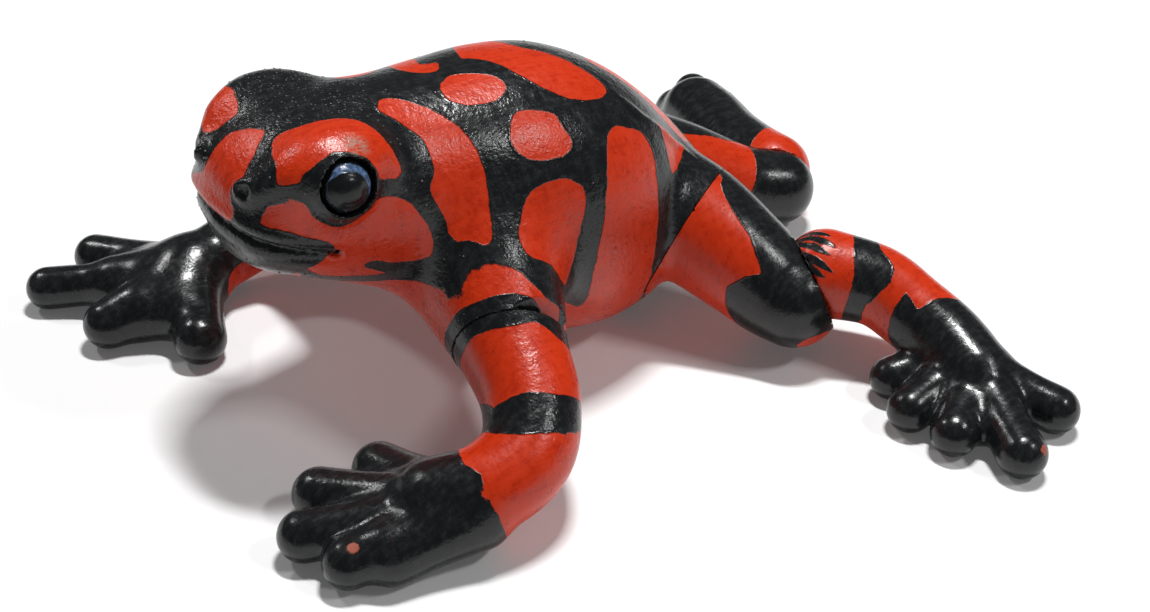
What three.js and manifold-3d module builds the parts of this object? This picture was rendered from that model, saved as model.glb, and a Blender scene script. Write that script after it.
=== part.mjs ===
// A moulded poison-frog figure in a crawling pose, in millimetres. It faces -X, its left side is -Y, and +Z is up.
// The trunk carries two glossy eye beads, and each limb turns on a barbed peg in a blind socket.
import * as THREE from "three";
import { mergeVertices } from "three/addons/utils/BufferGeometryUtils.js";
import Module from "manifold-3d";

const wasm = await Module();
wasm.setup();

// ---- driving dimensions -----------------------------------------------------------------------------------
const SEAM_GAP = 0.3; // between any two pieces
const PEG = { neck: 1.5, barb: 2.0, length: 4.6, barbLength: 1.6 };
const EYE = { radius: 2.5, stem: 1.2, stemLength: 3.0 };
const PEG_SIDES = 16;
const TRUNK_SIDES = 28;
const LIMB_SIDES = 16;
const DIGIT_SIDES = 10;
const CENTRE_SHIFT = [-5.3, 6.2, 0]; // brings the middle of the stance over the origin

// The trunk's sections from snout to rump: x, back height, belly height, half width, height of the widest place.
const TRUNK = [
  [-30.0, 26.2, 21.4, 3.2, 23.8],
  [-29.3, 28.1, 19.9, 5.8, 23.8],
  [-27.6, 30.0, 18.6, 7.8, 24.2],
  [-25.0, 31.5, 17.3, 9.0, 24.4],
  [-21.5, 32.6, 15.8, 9.7, 23.8],
  [-17.0, 32.7, 13.4, 10.3, 22.4],
  [-12.0, 32.2, 10.6, 10.8, 20.8],
  [-6.0, 31.8, 6.4, 12.4, 18.8],
  [0.0, 31.6, 2.2, 13.6, 16.8],
  [6.0, 30.4, 0.5, 13.6, 15.2],
  [12.0, 27.2, 0.7, 12.0, 13.8],
  [17.0, 22.8, 2.6, 9.4, 12.4],
  [21.0, 18.2, 4.8, 6.8, 11.2],
  [24.4, 13.6, 7.2, 3.6, 10.2],
  [25.8, 11.2, 8.6, 1.0, 9.8],
];
const BROW = { x: -21.2, y: 6.6, z: 29.2, length: 5.4, width: 3.7, height: 3.8 };
const EYE_SEAT = { x: -21.5, y: 8.7, z: 28.6, aim: [-0.12, 1, 0.18] };

// Limb centre lines: x, y, z and radius, from inside the trunk outwards.
const LEFT_ARM = [
  [-7.6, -8.0, 15.6, 7.6], [-8.7, -12.6, 13.4, 6.3], [-10.0, -17.4, 11.4, 5.0], [-11.4, -22.2, 9.2, 4.5],
  [-14.2, -25.6, 7.0, 4.3], [-18.6, -26.2, 5.5, 4.1], [-22.6, -24.2, 4.5, 4.0],
];
const RIGHT_ARM = [
  [-7.6, 8.0, 15.6, 7.6], [-8.7, 12.6, 13.4, 6.3], [-10.4, 17.2, 11.2, 5.0], [-12.4, 21.2, 8.8, 4.4],
  [-16.0, 23.2, 6.4, 4.0], [-20.8, 23.4, 4.7, 3.7], [-25.4, 23.4, 3.8, 3.6],
];
const LEFT_THIGH = [
  [14.6, -5.0, 13.0, 7.0], [17.4, -9.4, 11.4, 6.3], [19.6, -14.2, 8.8, 5.6], [21.0, -17.6, 6.9, 5.1],
  [21.9, -20.0, 6.2, 4.8],
];
const LEFT_SHANK = [
  [25.4, -20.6, 8.5, 4.5], [28.6, -24.6, 7.9, 4.1], [30.0, -28.4, 6.4, 3.9], [30.8, -32.6, 4.9, 3.9],
  [30.4, -37.0, 3.8, 3.7],
];
const RIGHT_THIGH = [
  [14.6, 4.0, 12.6, 7.0], [20.0, 6.4, 10.8, 6.2], [26.4, 5.2, 8.4, 5.4], [33.0, 2.4, 5.4, 4.6],
  [37.4, 0.6, 4.5, 4.3],
];
const RIGHT_SHANK = [
  [39.0, 3.2, 4.9, 4.4], [39.4, 7.2, 4.6, 4.3], [40.2, 12.2, 4.3, 4.3], [41.4, 17.2, 4.2, 4.4],
  [42.2, 21.0, 4.1, 4.3],
];

// Each finger, toe or web between toes: where it leaves the palm, the middle of its round pad, the pad radius.
const LEFT_HAND = [
  { root: [-21.6, -22.6, 4.0], pad: [-23.4, -15.2, 2.4], size: 2.6 },
  { root: [-24.0, -22.4, 3.8], pad: [-29.5, -15.0, 2.3], size: 2.5 },
  { root: [-24.4, -24.4, 3.8], pad: [-33.2, -19.2, 2.3], size: 2.4 },
  { root: [-23.6, -26.0, 3.8], pad: [-31.6, -24.4, 2.3], size: 2.4 },
  { root: [-20.4, -27.2, 4.0], pad: [-28.2, -25.8, 2.6], size: 2.9 },
  { root: [-23.0, -23.0, 3.4], pad: [-27.8, -20.8, 2.2], size: 2.3 },
];
const RIGHT_HAND = [
  { root: [-24.6, 22.4, 3.4], pad: [-28.1, 13.4, 2.4], size: 2.7 },
  { root: [-26.6, 22.6, 3.4], pad: [-34.7, 21.2, 2.4], size: 2.6 },
  { root: [-26.8, 24.4, 3.4], pad: [-37.3, 31.6, 2.2], size: 2.3 },
  { root: [-24.6, 25.4, 3.4], pad: [-30.7, 34.6, 2.3], size: 2.4 },
  { root: [-24.6, 22.6, 4.0], pad: [-31.0, 20.6, 2.9], size: 3.2 },
  { root: [-24.4, 22.4, 4.0], pad: [-28.0, 18.6, 2.9], size: 3.1 },
  { root: [-25.0, 23.8, 4.0], pad: [-31.0, 27.2, 2.7], size: 2.9 },
];
const LEFT_FOOT = [
  { root: [30.0, -33.6, 3.6], pad: [25.0, -31.5, 2.1], size: 2.2 },
  { root: [29.4, -35.6, 3.4], pad: [22.9, -36.2, 2.1], size: 2.3 },
  { root: [29.4, -37.8, 3.2], pad: [23.7, -41.2, 2.1], size: 2.3 },
  { root: [30.0, -39.0, 3.2], pad: [26.6, -47.0, 2.1], size: 2.4 },
  { root: [31.6, -38.0, 3.4], pad: [34.2, -44.2, 2.1], size: 2.4 },
  { root: [30.0, -35.6, 3.2], pad: [26.8, -41.6, 1.9], size: 2.0 },
  { root: [31.0, -36.0, 3.4], pad: [31.4, -41.0, 2.0], size: 2.2 },
];
const RIGHT_FOOT = [
  { root: [42.0, 19.8, 3.2], pad: [39.8, 19.6, 2.4], size: 2.6 },
  { root: [42.4, 21.2, 3.2], pad: [40.7, 22.9, 2.2], size: 2.6 },
  { root: [43.0, 21.8, 3.6], pad: [42.3, 25.0, 2.5], size: 2.9 },
  { root: [44.4, 22.6, 3.0], pad: [47.4, 28.4, 2.3], size: 2.4 },
  { root: [44.4, 21.2, 3.0], pad: [48.0, 23.4, 2.1], size: 2.2 },
];

// Swivel seams: the middle of the seam, the way the peg's axis points outwards, and the seam's radius.
const SEAMS = {
  left_shoulder: { at: [-9.9, -17.0, 11.6], axis: [-0.42, -0.87, -0.27], radius: 5.3 },
  right_shoulder: { at: [-10.3, 16.8, 11.4], axis: [-0.44, 0.85, -0.29], radius: 5.3 },
  left_hip: { at: [17.1, -9.0, 11.6], axis: [0.46, -0.80, -0.39], radius: 6.5 },
  right_hip: { at: [21.4, 6.2, 10.2], axis: [0.90, -0.12, -0.42], radius: 6.2 },
  left_knee: { at: [24.1, -20.7, 7.2], axis: [0.85, -0.37, 0.36], radius: 3.7 },
  right_knee: { at: [38.3, 1.9, 4.7], axis: [0.62, 0.77, 0.12], radius: 4.1 },
};

// ---- solids ----------------------------------------------------------------------------------------------
function solid(geometry) {
  const bare = geometry.clone();
  bare.deleteAttribute("normal");
  bare.deleteAttribute("uv");
  const merged = mergeVertices(bare, 1e-5);
  return new wasm.Manifold(new wasm.Mesh({
    numProp: 3,
    vertProperties: new Float32Array(merged.attributes.position.array),
    triVerts: new Uint32Array(merged.index.array),
  }));
}

function join(...parts) {
  return parts.reduce((sum, part) => sum.add(part));
}

// Closes a stack of rings, each with the same number of points, between a first and a last point.
function closedLoft(rings, first, last) {
  const sides = rings[0].length;
  const points = [first, ...rings.flat(), last];
  const index = [];
  for (let k = 0; k < sides; k++) {
    const next = (k + 1) % sides;
    index.push(0, 1 + next, 1 + k);
    for (let ring = 0; ring < rings.length - 1; ring++) {
      const here = 1 + ring * sides;
      const there = here + sides;
      index.push(here + k, here + next, there + k, here + next, there + next, there + k);
    }
    const end = 1 + (rings.length - 1) * sides;
    index.push(points.length - 1, end + k, end + next);
  }
  const geometry = new THREE.BufferGeometry();
  geometry.setAttribute("position", new THREE.Float32BufferAttribute(points.flatMap((p) => p.toArray()), 3));
  geometry.setIndex(index);
  return geometry;
}

// A round limb along a smooth line through the stations, with rounded ends.
function limb(stations, sides = LIMB_SIDES, stepsPerStation = 2) {
  const line = new THREE.CatmullRomCurve3(stations.map(([x, y, z]) => new THREE.Vector3(x, y, z)));
  const width = new THREE.CatmullRomCurve3(stations.map(([, , , r], i) => new THREE.Vector3(i, r, 0)));
  const steps = (stations.length - 1) * stepsPerStation;
  const slices = [];
  let side = new THREE.Vector3(0, 0, 1);
  for (let i = 0; i <= steps; i++) {
    const t = i / steps;
    const along = line.getTangent(t);
    side = side.clone().addScaledVector(along, -side.dot(along)).normalize();
    slices.push({ middle: line.getPoint(t), along, side, radius: width.getPoint(t).y });
  }
  const ring = ({ middle, along, side: up, radius }, lift, scale) => {
    const across = new THREE.Vector3().crossVectors(along, up);
    return Array.from({ length: sides }, (_, k) => {
      const angle = (2 * Math.PI * k) / sides;
      return middle.clone().addScaledVector(along, lift * radius)
        .addScaledVector(up, Math.cos(angle) * radius * scale)
        .addScaledVector(across, Math.sin(angle) * radius * scale);
    });
  };
  const start = slices[0];
  const end = slices.at(-1);
  const domeAngles = [30, 60].map(THREE.MathUtils.degToRad);
  const rings = [
    ...domeAngles.toReversed().map((a) => ring(start, -Math.sin(a), Math.cos(a))),
    ...slices.map((slice) => ring(slice, 0, 1)),
    ...domeAngles.map((a) => ring(end, Math.sin(a), Math.cos(a))),
  ];
  const first = start.middle.clone().addScaledVector(start.along, -start.radius);
  const last = end.middle.clone().addScaledVector(end.along, end.radius);
  return solid(closedLoft(rings, first, last));
}

// Turns a shape made about +Z so that +Z points along a seam's axis, with z = 0 on the seam.
function onSeam(geometry, { at, axis }, offset = 0) {
  const along = new THREE.Vector3(...axis).normalize();
  const turn = new THREE.Quaternion().setFromUnitVectors(new THREE.Vector3(0, 0, 1), along);
  geometry.applyQuaternion(turn);
  geometry.translate(at[0] + along.x * offset, at[1] + along.y * offset, at[2] + along.z * offset);
  return solid(geometry);
}

function lathe(profile) {
  return new THREE.LatheGeometry(profile.map(([r, z]) => new THREE.Vector2(r, z)), PEG_SIDES).rotateX(Math.PI / 2);
}

// Everything on one side of a seam: side = 1 outwards, -1 inwards, starting `away` from it.
function halfSpace(seam, side, away) {
  const size = 120;
  const box = new THREE.BoxGeometry(size, size, size).translate(0, 0, side * (size / 2 + away));
  return onSeam(box, seam);
}

// A barbed peg that points inwards from the seam, and the socket that holds it with a little room all round.
function peg(seam, room = 0) {
  const tip = -(PEG.length + room);
  const barbBack = -(PEG.length - PEG.barbLength - room);
  const root = room > 0 ? 1 : 0.6;
  return onSeam(lathe([
    [0, tip], [PEG.neck * 0.7 + room, tip], [PEG.barb + room, barbBack - 0.7],
    [PEG.barb + room, barbBack], [PEG.neck + room, barbBack], [PEG.neck + room, root], [0, root],
  ]), seam);
}

// Room outside a seam for the limb's flat end to turn in.
function turningRoom(seam) {
  const depth = 7;
  const room = new THREE.CylinderGeometry(seam.radius + 1, seam.radius + 0.5, depth, 24);
  room.rotateX(Math.PI / 2).translate(0, 0, depth / 2);
  return onSeam(room, seam);
}

const underFloor = solid(new THREE.BoxGeometry(200, 200, 20).translate(0, 0, -10));

// ---- pieces ----------------------------------------------------------------------------------------------
function trunkLoft() {
  const line = TRUNK.map(([x, top, bottom, half, wide]) => ({ x, top, bottom, half, wide }));
  const rings = line.map(({ x, top, bottom, half, wide }) =>
    Array.from({ length: TRUNK_SIDES }, (_, k) => {
      const angle = (2 * Math.PI * k) / TRUNK_SIDES;
      const rise = Math.sin(angle) > 0 ? top - wide : wide - bottom;
      return new THREE.Vector3(x, Math.cos(angle) * half, wide + Math.sin(angle) * rise);
    }));
  const first = new THREE.Vector3(line[0].x - 0.4, 0, line[0].wide);
  const last = new THREE.Vector3(line.at(-1).x + 0.3, 0, line.at(-1).wide);
  return solid(closedLoft(rings, first, last));
}

function brow(side) {
  const bulge = new THREE.SphereGeometry(1, 18, 12);
  bulge.scale(BROW.length, BROW.width, BROW.height);
  bulge.translate(BROW.x, side * BROW.y, BROW.z);
  return solid(bulge);
}

function eyeSeam(side) {
  const [aimX, aimY, aimZ] = EYE_SEAT.aim;
  return { at: [EYE_SEAT.x, side * EYE_SEAT.y, EYE_SEAT.z], axis: [aimX, side * aimY, aimZ] };
}

// A bead: a dome outwards of its seat and a round stem inwards. With room, it is the hole for one.
function eyeBead(side, room = 0) {
  const r = EYE.radius + room;
  const stem = EYE.stem + room;
  const dome = [80, 60, 40, 20, 0, -25].map(THREE.MathUtils.degToRad).map((a) => [r * Math.cos(a), r * Math.sin(a)]);
  return onSeam(lathe([
    [0, -EYE.stemLength - room], [stem, -EYE.stemLength - room], [stem, -r * 0.6],
    ...dome.toReversed(), [0, r],
  ]), eyeSeam(side));
}

function bodyTrunk() {
  const hips = [[LEFT_THIGH, SEAMS.left_hip], [RIGHT_THIGH, SEAMS.right_hip]];
  const shoulders = [[LEFT_ARM, SEAMS.left_shoulder], [RIGHT_ARM, SEAMS.right_shoulder]];
  let body = join(trunkLoft(), brow(-1), brow(1));
  for (const [line, seam] of [...hips, ...shoulders]) {
    body = body.subtract(turningRoom(seam));
    body = body.add(limb(line).subtract(halfSpace(seam, 1, 0)));
    body = body.subtract(peg(seam, SEAM_GAP));
  }
  return body.subtract(eyeBead(-1, SEAM_GAP)).subtract(eyeBead(1, SEAM_GAP));
}

// The part of a limb outwards of its seam, with its peg.
function limbFrom(seam, line) {
  const outer = limb(line).subtract(halfSpace(seam, -1, -SEAM_GAP));
  return outer.add(peg(seam));
}

function digits(list) {
  return join(...list.map(({ root, pad, size }) => {
    const middle = root.map((v, i) => v * 0.45 + pad[i] * 0.55);
    const stations = [[...root, size * 0.95], [...middle, size * 0.82], [...pad, size]];
    return limb(stations, DIGIT_SIDES, 2);
  }));
}

function arm(seam, line, hand) {
  return join(limbFrom(seam, line), digits(hand)).subtract(underFloor);
}

function thigh(hip, knee, line) {
  return limbFrom(hip, line).subtract(halfSpace(knee, 1, 0)).subtract(peg(knee, SEAM_GAP)).subtract(underFloor);
}

function shank(knee, line, foot) {
  return join(limbFrom(knee, line), digits(foot)).subtract(underFloor);
}

// ---- assembly --------------------------------------------------------------------------------------------
const enamel = (color) => new THREE.MeshStandardMaterial({ color, roughness: 0.35, metalness: 0 });
const RED = 0xc83a1e;
const BLACK = 0x15181a;

const pieces = {
  trunk: [bodyTrunk(), enamel(RED)],
  left_eye: [eyeBead(-1), enamel(BLACK)],
  right_eye: [eyeBead(1), enamel(BLACK)],
  left_arm: [arm(SEAMS.left_shoulder, LEFT_ARM, LEFT_HAND), enamel(RED)],
  right_arm: [arm(SEAMS.right_shoulder, RIGHT_ARM, RIGHT_HAND), enamel(RED)],
  left_thigh: [thigh(SEAMS.left_hip, SEAMS.left_knee, LEFT_THIGH), enamel(RED)],
  right_thigh: [thigh(SEAMS.right_hip, SEAMS.right_knee, RIGHT_THIGH), enamel(RED)],
  left_shank: [shank(SEAMS.left_knee, LEFT_SHANK, LEFT_FOOT), enamel(RED)],
  right_shank: [shank(SEAMS.right_knee, RIGHT_SHANK, RIGHT_FOOT), enamel(RED)],
};

const frog = new THREE.Group();
frog.position.set(...CENTRE_SHIFT);
for (const [name, [shape, material]] of Object.entries(pieces)) {
  const { vertProperties, triVerts } = shape.getMesh();
  const geometry = new THREE.BufferGeometry();
  geometry.setAttribute("position", new THREE.BufferAttribute(new Float32Array(vertProperties), 3));
  geometry.setIndex(new THREE.BufferAttribute(new Uint32Array(triVerts), 1));
  const mesh = new THREE.Mesh(geometry, material);
  mesh.name = name;
  frog.add(mesh);
}

export default frog;
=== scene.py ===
# %% [markdown]
# # A painted poison frog in soft vinyl
# This lesson finishes a small moulded frog figure around its mechanical frame. The frame gives the bodies
# and the swivel pegs. The smooth clay-like skin, the brushed enamel and the glossy eyes are made here.

# %% Load the frame
import math

import bpy
import numpy as np
import openvdb
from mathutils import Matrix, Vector


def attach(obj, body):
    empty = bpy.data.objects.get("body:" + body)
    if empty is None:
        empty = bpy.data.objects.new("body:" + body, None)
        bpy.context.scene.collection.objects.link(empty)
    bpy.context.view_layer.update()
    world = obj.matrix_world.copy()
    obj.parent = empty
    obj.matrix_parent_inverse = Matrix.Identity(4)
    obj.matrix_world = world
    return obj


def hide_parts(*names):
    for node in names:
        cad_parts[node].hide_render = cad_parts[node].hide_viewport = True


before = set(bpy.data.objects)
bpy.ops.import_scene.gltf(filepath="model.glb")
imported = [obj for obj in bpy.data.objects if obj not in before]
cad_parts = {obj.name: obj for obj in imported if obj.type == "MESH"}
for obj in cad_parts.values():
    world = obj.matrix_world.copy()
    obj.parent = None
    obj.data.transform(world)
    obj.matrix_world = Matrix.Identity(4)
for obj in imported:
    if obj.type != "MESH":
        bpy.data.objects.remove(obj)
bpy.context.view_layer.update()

# %% [markdown]
# The sculptor worked in millimetres about the frog's own middle line: it faces -X, its left side is -Y, and
# the spine lies over y = 0. Everything below is written in those millimetres. `STANCE` then moves the
# finished skin to the frame's origin, the middle of the footprint.

# %% Units and the sculptor's frame
MM = 0.001
STANCE = np.array([-5.3, 6.2, 0.0])
VOXEL = 0.3
print("clay grid:", VOXEL, "mm")


def to_frame(points):
    """Sculptor's millimetres to the frame's metres."""
    return (np.asarray(points) + STANCE) * MM


def add_object(name, data):
    thing = bpy.data.objects.new(name, data)
    bpy.context.scene.collection.objects.link(thing)
    return thing


# %% [markdown]
# The camera looks down at the frog from its front left, with a portrait lens, so the near hand is a little
# larger than the far one.

# %% Camera
AIM = (0.0, -12.8, 10.0)
CAMERA_TURN = math.radians(35)
CAMERA_RISE = math.radians(34)
CAMERA_DISTANCE = 160.0

camera_data = bpy.data.cameras.new("camera")
camera_data.lens = 52
camera_data.sensor_width = 36
camera_data.clip_start = 0.005
camera = add_object("camera", camera_data)
back = np.array([
    -math.sin(CAMERA_TURN) * math.cos(CAMERA_RISE),
    -math.cos(CAMERA_TURN) * math.cos(CAMERA_RISE),
    math.sin(CAMERA_RISE),
])
camera.location = to_frame(np.array(AIM) + CAMERA_DISTANCE * back)
camera.rotation_euler = Vector(-back).to_track_quat("-Z", "Y").to_euler()
bpy.context.scene.camera = camera
print("camera at", [round(v, 4) for v in camera.location])

# %% [markdown]
# A distance field stands in for clay. Each function takes points and says how far they are from a shape's
# surface, negative inside. Fields can be melted together with a soft minimum, which leaves the rounded
# creases that a modelling tool leaves, and a grid of distances turns into an even skin of small quads.


# %% Clay tools
def melt(a, b, width):
    """Joins two fields with a fillet about as wide as width."""
    h = np.clip(0.5 + 0.5 * (b - a) / width, 0, 1)
    return b + (a - b) * h - width * h * (1 - h)


def carve(a, b, width):
    """Cuts field b out of field a with a rounded edge."""
    return -melt(-a, b, width)


def smooth_step(low, high, value):
    t = np.clip((value - low) / (high - low), 0, 1)
    return t * t * (3 - 2 * t)


def lengths(rows):
    return np.linalg.norm(rows, axis=1)


def unit(vector):
    vector = np.array(vector, float)
    return vector / np.linalg.norm(vector)


def spline(rows, per_span):
    """A Catmull-Rom curve from the second row to the last but one, as a list of rows."""
    out = []
    for a, b, c, d in zip(rows[:-3], rows[1:-2], rows[2:-1], rows[3:]):
        square, cube = 2 * a - 5 * b + 4 * c - d, 3 * b - a - 3 * c + d
        for t in np.arange(per_span) / per_span:
            out.append(0.5 * (2 * b + (c - a) * t + square * t ** 2 + cube * t ** 3))
    return out


def smooth_line(stations, per_span=6):
    """A smooth open line through rows of numbers, one row for each station."""
    rows = np.array(stations, float)
    rows = np.vstack([2 * rows[0] - rows[1], rows, 2 * rows[-1] - rows[-2]])
    return np.array(spline(rows, per_span) + [rows[-2]])


def ball(points, centre, radii):
    """Distance to an ellipsoid, good near its surface."""
    q = (points - np.array(centre, float)) / np.array(radii, float)
    length = lengths(q)
    slope = lengths(q / np.array(radii, float))
    return length * (length - 1) / np.maximum(slope, 1e-6)


def cone(points, a, b, radius_a, radius_b):
    """Distance to a tapered rod with round ends."""
    a, b = np.asarray(a, float), np.asarray(b, float)
    along = b - a
    t = np.clip((points - a) @ along / max(along @ along, 1e-9), 0, 1)
    return lengths(points - a - t[:, None] * along) - (radius_a + (radius_b - radius_a) * t)


def tube(points, stations, per_span=12):
    """Distance to a round limb along a smooth line of x, y, z, radius."""
    line = smooth_line(stations, per_span)
    out = np.full(len(points), 1e3)
    for a, b in zip(line[:-1], line[1:]):
        out = np.minimum(out, cone(points, a[:3], b[:3], a[3], b[3]))
    return out


def plane_side(points, seam, gap=0.0):
    """Distance beyond a seam's plane, positive outwards."""
    return (points - seam["at"]) @ unit(seam["axis"]) - gap


# %% [markdown]
# A field is only worth working out near the skin. `sculpt` first samples it on a coarse grid, keeps the
# cells that the skin might cross, fills those in finely, and lets OpenVDB wrap them in quads.


# %% Field to skin
def grid_points(low, shape, step):
    axes = [low[i] + step * np.arange(shape[i]) for i in range(3)]
    return np.stack(np.meshgrid(*axes, indexing="ij"), -1).reshape(-1, 3)


def sculpt(field, low, high, step=VOXEL):
    """Wraps the zero level of field, between two corners, in quads: points and faces in millimetres."""
    ratio = 4
    low, high = np.array(low, float), np.array(high, float)
    coarse_shape = np.ceil((high - low) / (step * ratio)).astype(int) + 1
    centre_low = low + step * (ratio - 1) / 2
    coarse = field(grid_points(centre_low, coarse_shape, step * ratio)).reshape(coarse_shape)
    rough = coarse.repeat(ratio, 0).repeat(ratio, 1).repeat(ratio, 2).astype(np.float32)
    near = np.abs(rough) < step * ratio * 1.5
    index = np.argwhere(near)
    rough[near] = field(low + index * step)
    limit = 3 * step
    grid = openvdb.FloatGrid(limit)
    grid.copyFromArray(np.clip(rough, -limit, limit))
    grid.transform = openvdb.createLinearTransform(voxelSize=step)
    points, quads = grid.convertToQuads(0.0)
    return points + low, quads


def loft_grid(stations, sides=72, step=0.6, margin=6.0):
    """Turns a stack of rounded sections into a grid of distances that can be sampled anywhere near it."""
    rows = smooth_line(stations, 6)
    angle = np.linspace(0, 2 * math.pi, sides, endpoint=False)
    points = []
    for x, top, bottom, half, wide, square in rows:
        rise = np.where(np.sin(angle) > 0, top - wide, wide - bottom)
        power = 2 / square
        y = half * np.sign(np.cos(angle)) * np.abs(np.cos(angle)) ** power
        z = wide + rise * np.sign(np.sin(angle)) * np.abs(np.sin(angle)) ** power
        points.append(np.stack([np.full(sides, x), y, z], 1))
    first = [rows[0][0] - 0.5, 0, rows[0][4]]
    last = [rows[-1][0] + 0.4, 0, rows[-1][4]]
    points = np.vstack([[first], *points, [last]])
    here = np.arange(sides)
    after = (here + 1) % sides
    quads = []
    for ring in range(len(rows) - 1):
        base, over = 1 + ring * sides, 1 + (ring + 1) * sides
        quads.append(np.stack([base + here, base + after, over + after, over + here], 1))
    end = 1 + (len(rows) - 1) * sides
    caps = np.vstack([
        np.stack([np.zeros(sides, int), 1 + after, 1 + here], 1),
        np.stack([np.full(sides, len(points) - 1), end + here, end + after], 1),
    ])
    low = points.min(0) - margin
    shape = np.ceil((points.max(0) + margin - low) / step).astype(int) + 1
    grid = openvdb.FloatGrid.createLevelSetFromPolygons(
        (points - low).astype(np.float32), triangles=caps.astype(np.uint32),
        quads=np.vstack(quads).astype(np.uint32),
        transform=openvdb.createLinearTransform(voxelSize=step), halfWidth=margin / step)
    values = np.zeros(shape, np.float32)
    grid.copyToArray(values)
    return {"low": low, "step": step, "values": values}


def sample(grid, points):
    """Reads a grid of distances at any points, between its samples."""
    shape = np.array(grid["values"].shape)
    place = np.clip((points - grid["low"]) / grid["step"], 0, shape - 1.001)
    cell = place.astype(int)
    part = place - cell
    total = np.zeros(len(points))
    for corner in np.ndindex(2, 2, 2):
        weight = np.prod(np.where(corner, part, 1 - part), axis=1)
        x, y, z = (cell + corner).T
        total += weight * grid["values"][x, y, z]
    return total


# %% [markdown]
# The trunk and head are one moulding. Its sections run from the snout to the rump: x, back height, belly
# height, half width, height of the widest place, and how square the section is (2 is an ellipse).

# %% Trunk sections
TRUNK = [
    (-30.0, 26.2, 21.4, 3.2, 23.8, 2.1),
    (-29.3, 28.1, 19.9, 5.8, 23.8, 2.1),
    (-27.6, 30.0, 18.6, 7.8, 24.2, 2.2),
    (-25.0, 31.5, 17.3, 9.0, 24.4, 2.2),
    (-21.5, 32.6, 15.8, 9.7, 23.8, 2.1),
    (-17.0, 32.7, 13.4, 10.3, 22.4, 2.1),
    (-12.0, 32.2, 10.6, 10.8, 20.8, 2.0),
    (-6.0, 31.8, 6.4, 12.4, 18.8, 2.1),
    (0.0, 31.6, 2.2, 13.6, 16.8, 2.1),
    (6.0, 30.4, 0.5, 13.6, 15.2, 2.1),
    (12.0, 27.2, 0.7, 12.0, 13.8, 2.1),
    (17.0, 22.8, 2.6, 9.4, 12.4, 2.0),
    (21.0, 18.2, 4.8, 6.8, 11.2, 2.0),
    (24.4, 13.6, 7.2, 3.6, 10.2, 2.0),
    (25.8, 11.2, 8.6, 1.0, 9.8, 2.0),
]
trunk_grid = loft_grid(TRUNK)
print("trunk grid:", trunk_grid["values"].shape)

# %% [markdown]
# Limbs are round clay rolls: each station gives x, y, z and the radius, from inside the trunk outwards.

# %% Limb lines
LEFT_ARM = [
    (-7.6, -8.0, 15.6, 7.6), (-8.7, -12.6, 13.4, 6.3), (-10.0, -17.4, 11.4, 5.0), (-11.4, -22.2, 9.2, 4.5),
    (-14.2, -25.6, 7.0, 4.3), (-18.6, -26.2, 5.5, 4.1), (-22.6, -24.2, 4.5, 4.0),
]
RIGHT_ARM = [
    (-7.6, 8.0, 15.6, 7.6), (-8.7, 12.6, 13.4, 6.3), (-10.4, 17.2, 11.2, 5.0), (-12.4, 21.2, 8.8, 4.4),
    (-16.0, 23.2, 6.4, 4.0), (-20.8, 23.4, 4.7, 3.7), (-25.4, 23.4, 3.8, 3.6),
]
LEFT_THIGH = [
    (14.6, -5.0, 13.0, 7.0), (17.4, -9.4, 11.4, 6.3), (19.6, -14.2, 8.8, 5.6), (21.0, -17.6, 6.9, 5.1),
    (21.9, -20.0, 6.2, 4.8),
]
LEFT_SHANK = [
    (25.4, -20.6, 8.5, 4.5), (28.6, -24.6, 7.9, 4.1), (30.0, -28.4, 6.4, 3.9), (30.8, -32.6, 4.9, 3.9),
    (30.4, -37.0, 3.8, 3.7),
]
RIGHT_THIGH = [
    (14.6, 4.0, 12.6, 7.0), (20.0, 6.4, 10.8, 6.2), (26.4, 5.2, 8.4, 5.4), (33.0, 2.4, 5.4, 4.6),
    (37.4, 0.6, 4.5, 4.3),
]
RIGHT_SHANK = [
    (39.0, 3.2, 4.9, 4.4), (39.4, 7.2, 4.6, 4.3), (40.2, 12.2, 4.3, 4.3), (41.4, 17.2, 4.2, 4.4),
    (42.2, 21.0, 4.1, 4.3),
]

# Fingers or toes, then the webs between them: where each leaves the palm, the middle of its round pad, and
# the pad's radius.
LEFT_HAND = [
    ((-21.6, -22.6, 4.0), (-23.4, -15.2, 2.4), 2.6),
    ((-24.0, -22.4, 3.8), (-29.5, -15.0, 2.3), 2.5),
    ((-24.4, -24.4, 3.8), (-33.2, -19.2, 2.3), 2.4),
    ((-23.6, -26.0, 3.8), (-31.6, -24.4, 2.3), 2.4),
    ((-20.4, -27.2, 4.0), (-28.2, -25.8, 2.6), 2.9),
    ((-23.0, -23.0, 3.4), (-27.8, -20.8, 2.2), 2.3),
]
RIGHT_HAND = [
    ((-24.6, 22.4, 3.4), (-28.1, 13.4, 2.4), 2.7),
    ((-26.6, 22.6, 3.4), (-34.7, 21.2, 2.4), 2.6),
    ((-26.8, 24.4, 3.4), (-37.3, 31.6, 2.2), 2.3),
    ((-24.6, 25.4, 3.4), (-30.7, 34.6, 2.3), 2.4),
    ((-24.6, 22.6, 4.0), (-31.0, 20.6, 2.9), 3.2),
    ((-24.4, 22.4, 4.0), (-28.0, 18.6, 2.9), 3.1),
    ((-25.0, 23.8, 4.0), (-31.0, 27.2, 2.7), 2.9),
]
LEFT_FOOT = [
    ((30.0, -33.6, 3.6), (25.0, -31.5, 2.1), 2.2),
    ((29.4, -35.6, 3.4), (22.9, -36.2, 2.1), 2.3),
    ((29.4, -37.8, 3.2), (23.7, -41.2, 2.1), 2.3),
    ((30.0, -39.0, 3.2), (26.6, -47.0, 2.1), 2.4),
    ((31.6, -38.0, 3.4), (34.2, -44.2, 2.1), 2.4),
    ((30.0, -35.6, 3.2), (26.8, -41.6, 1.9), 2.0),
    ((31.0, -36.0, 3.4), (31.4, -41.0, 2.0), 2.2),
]
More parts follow.
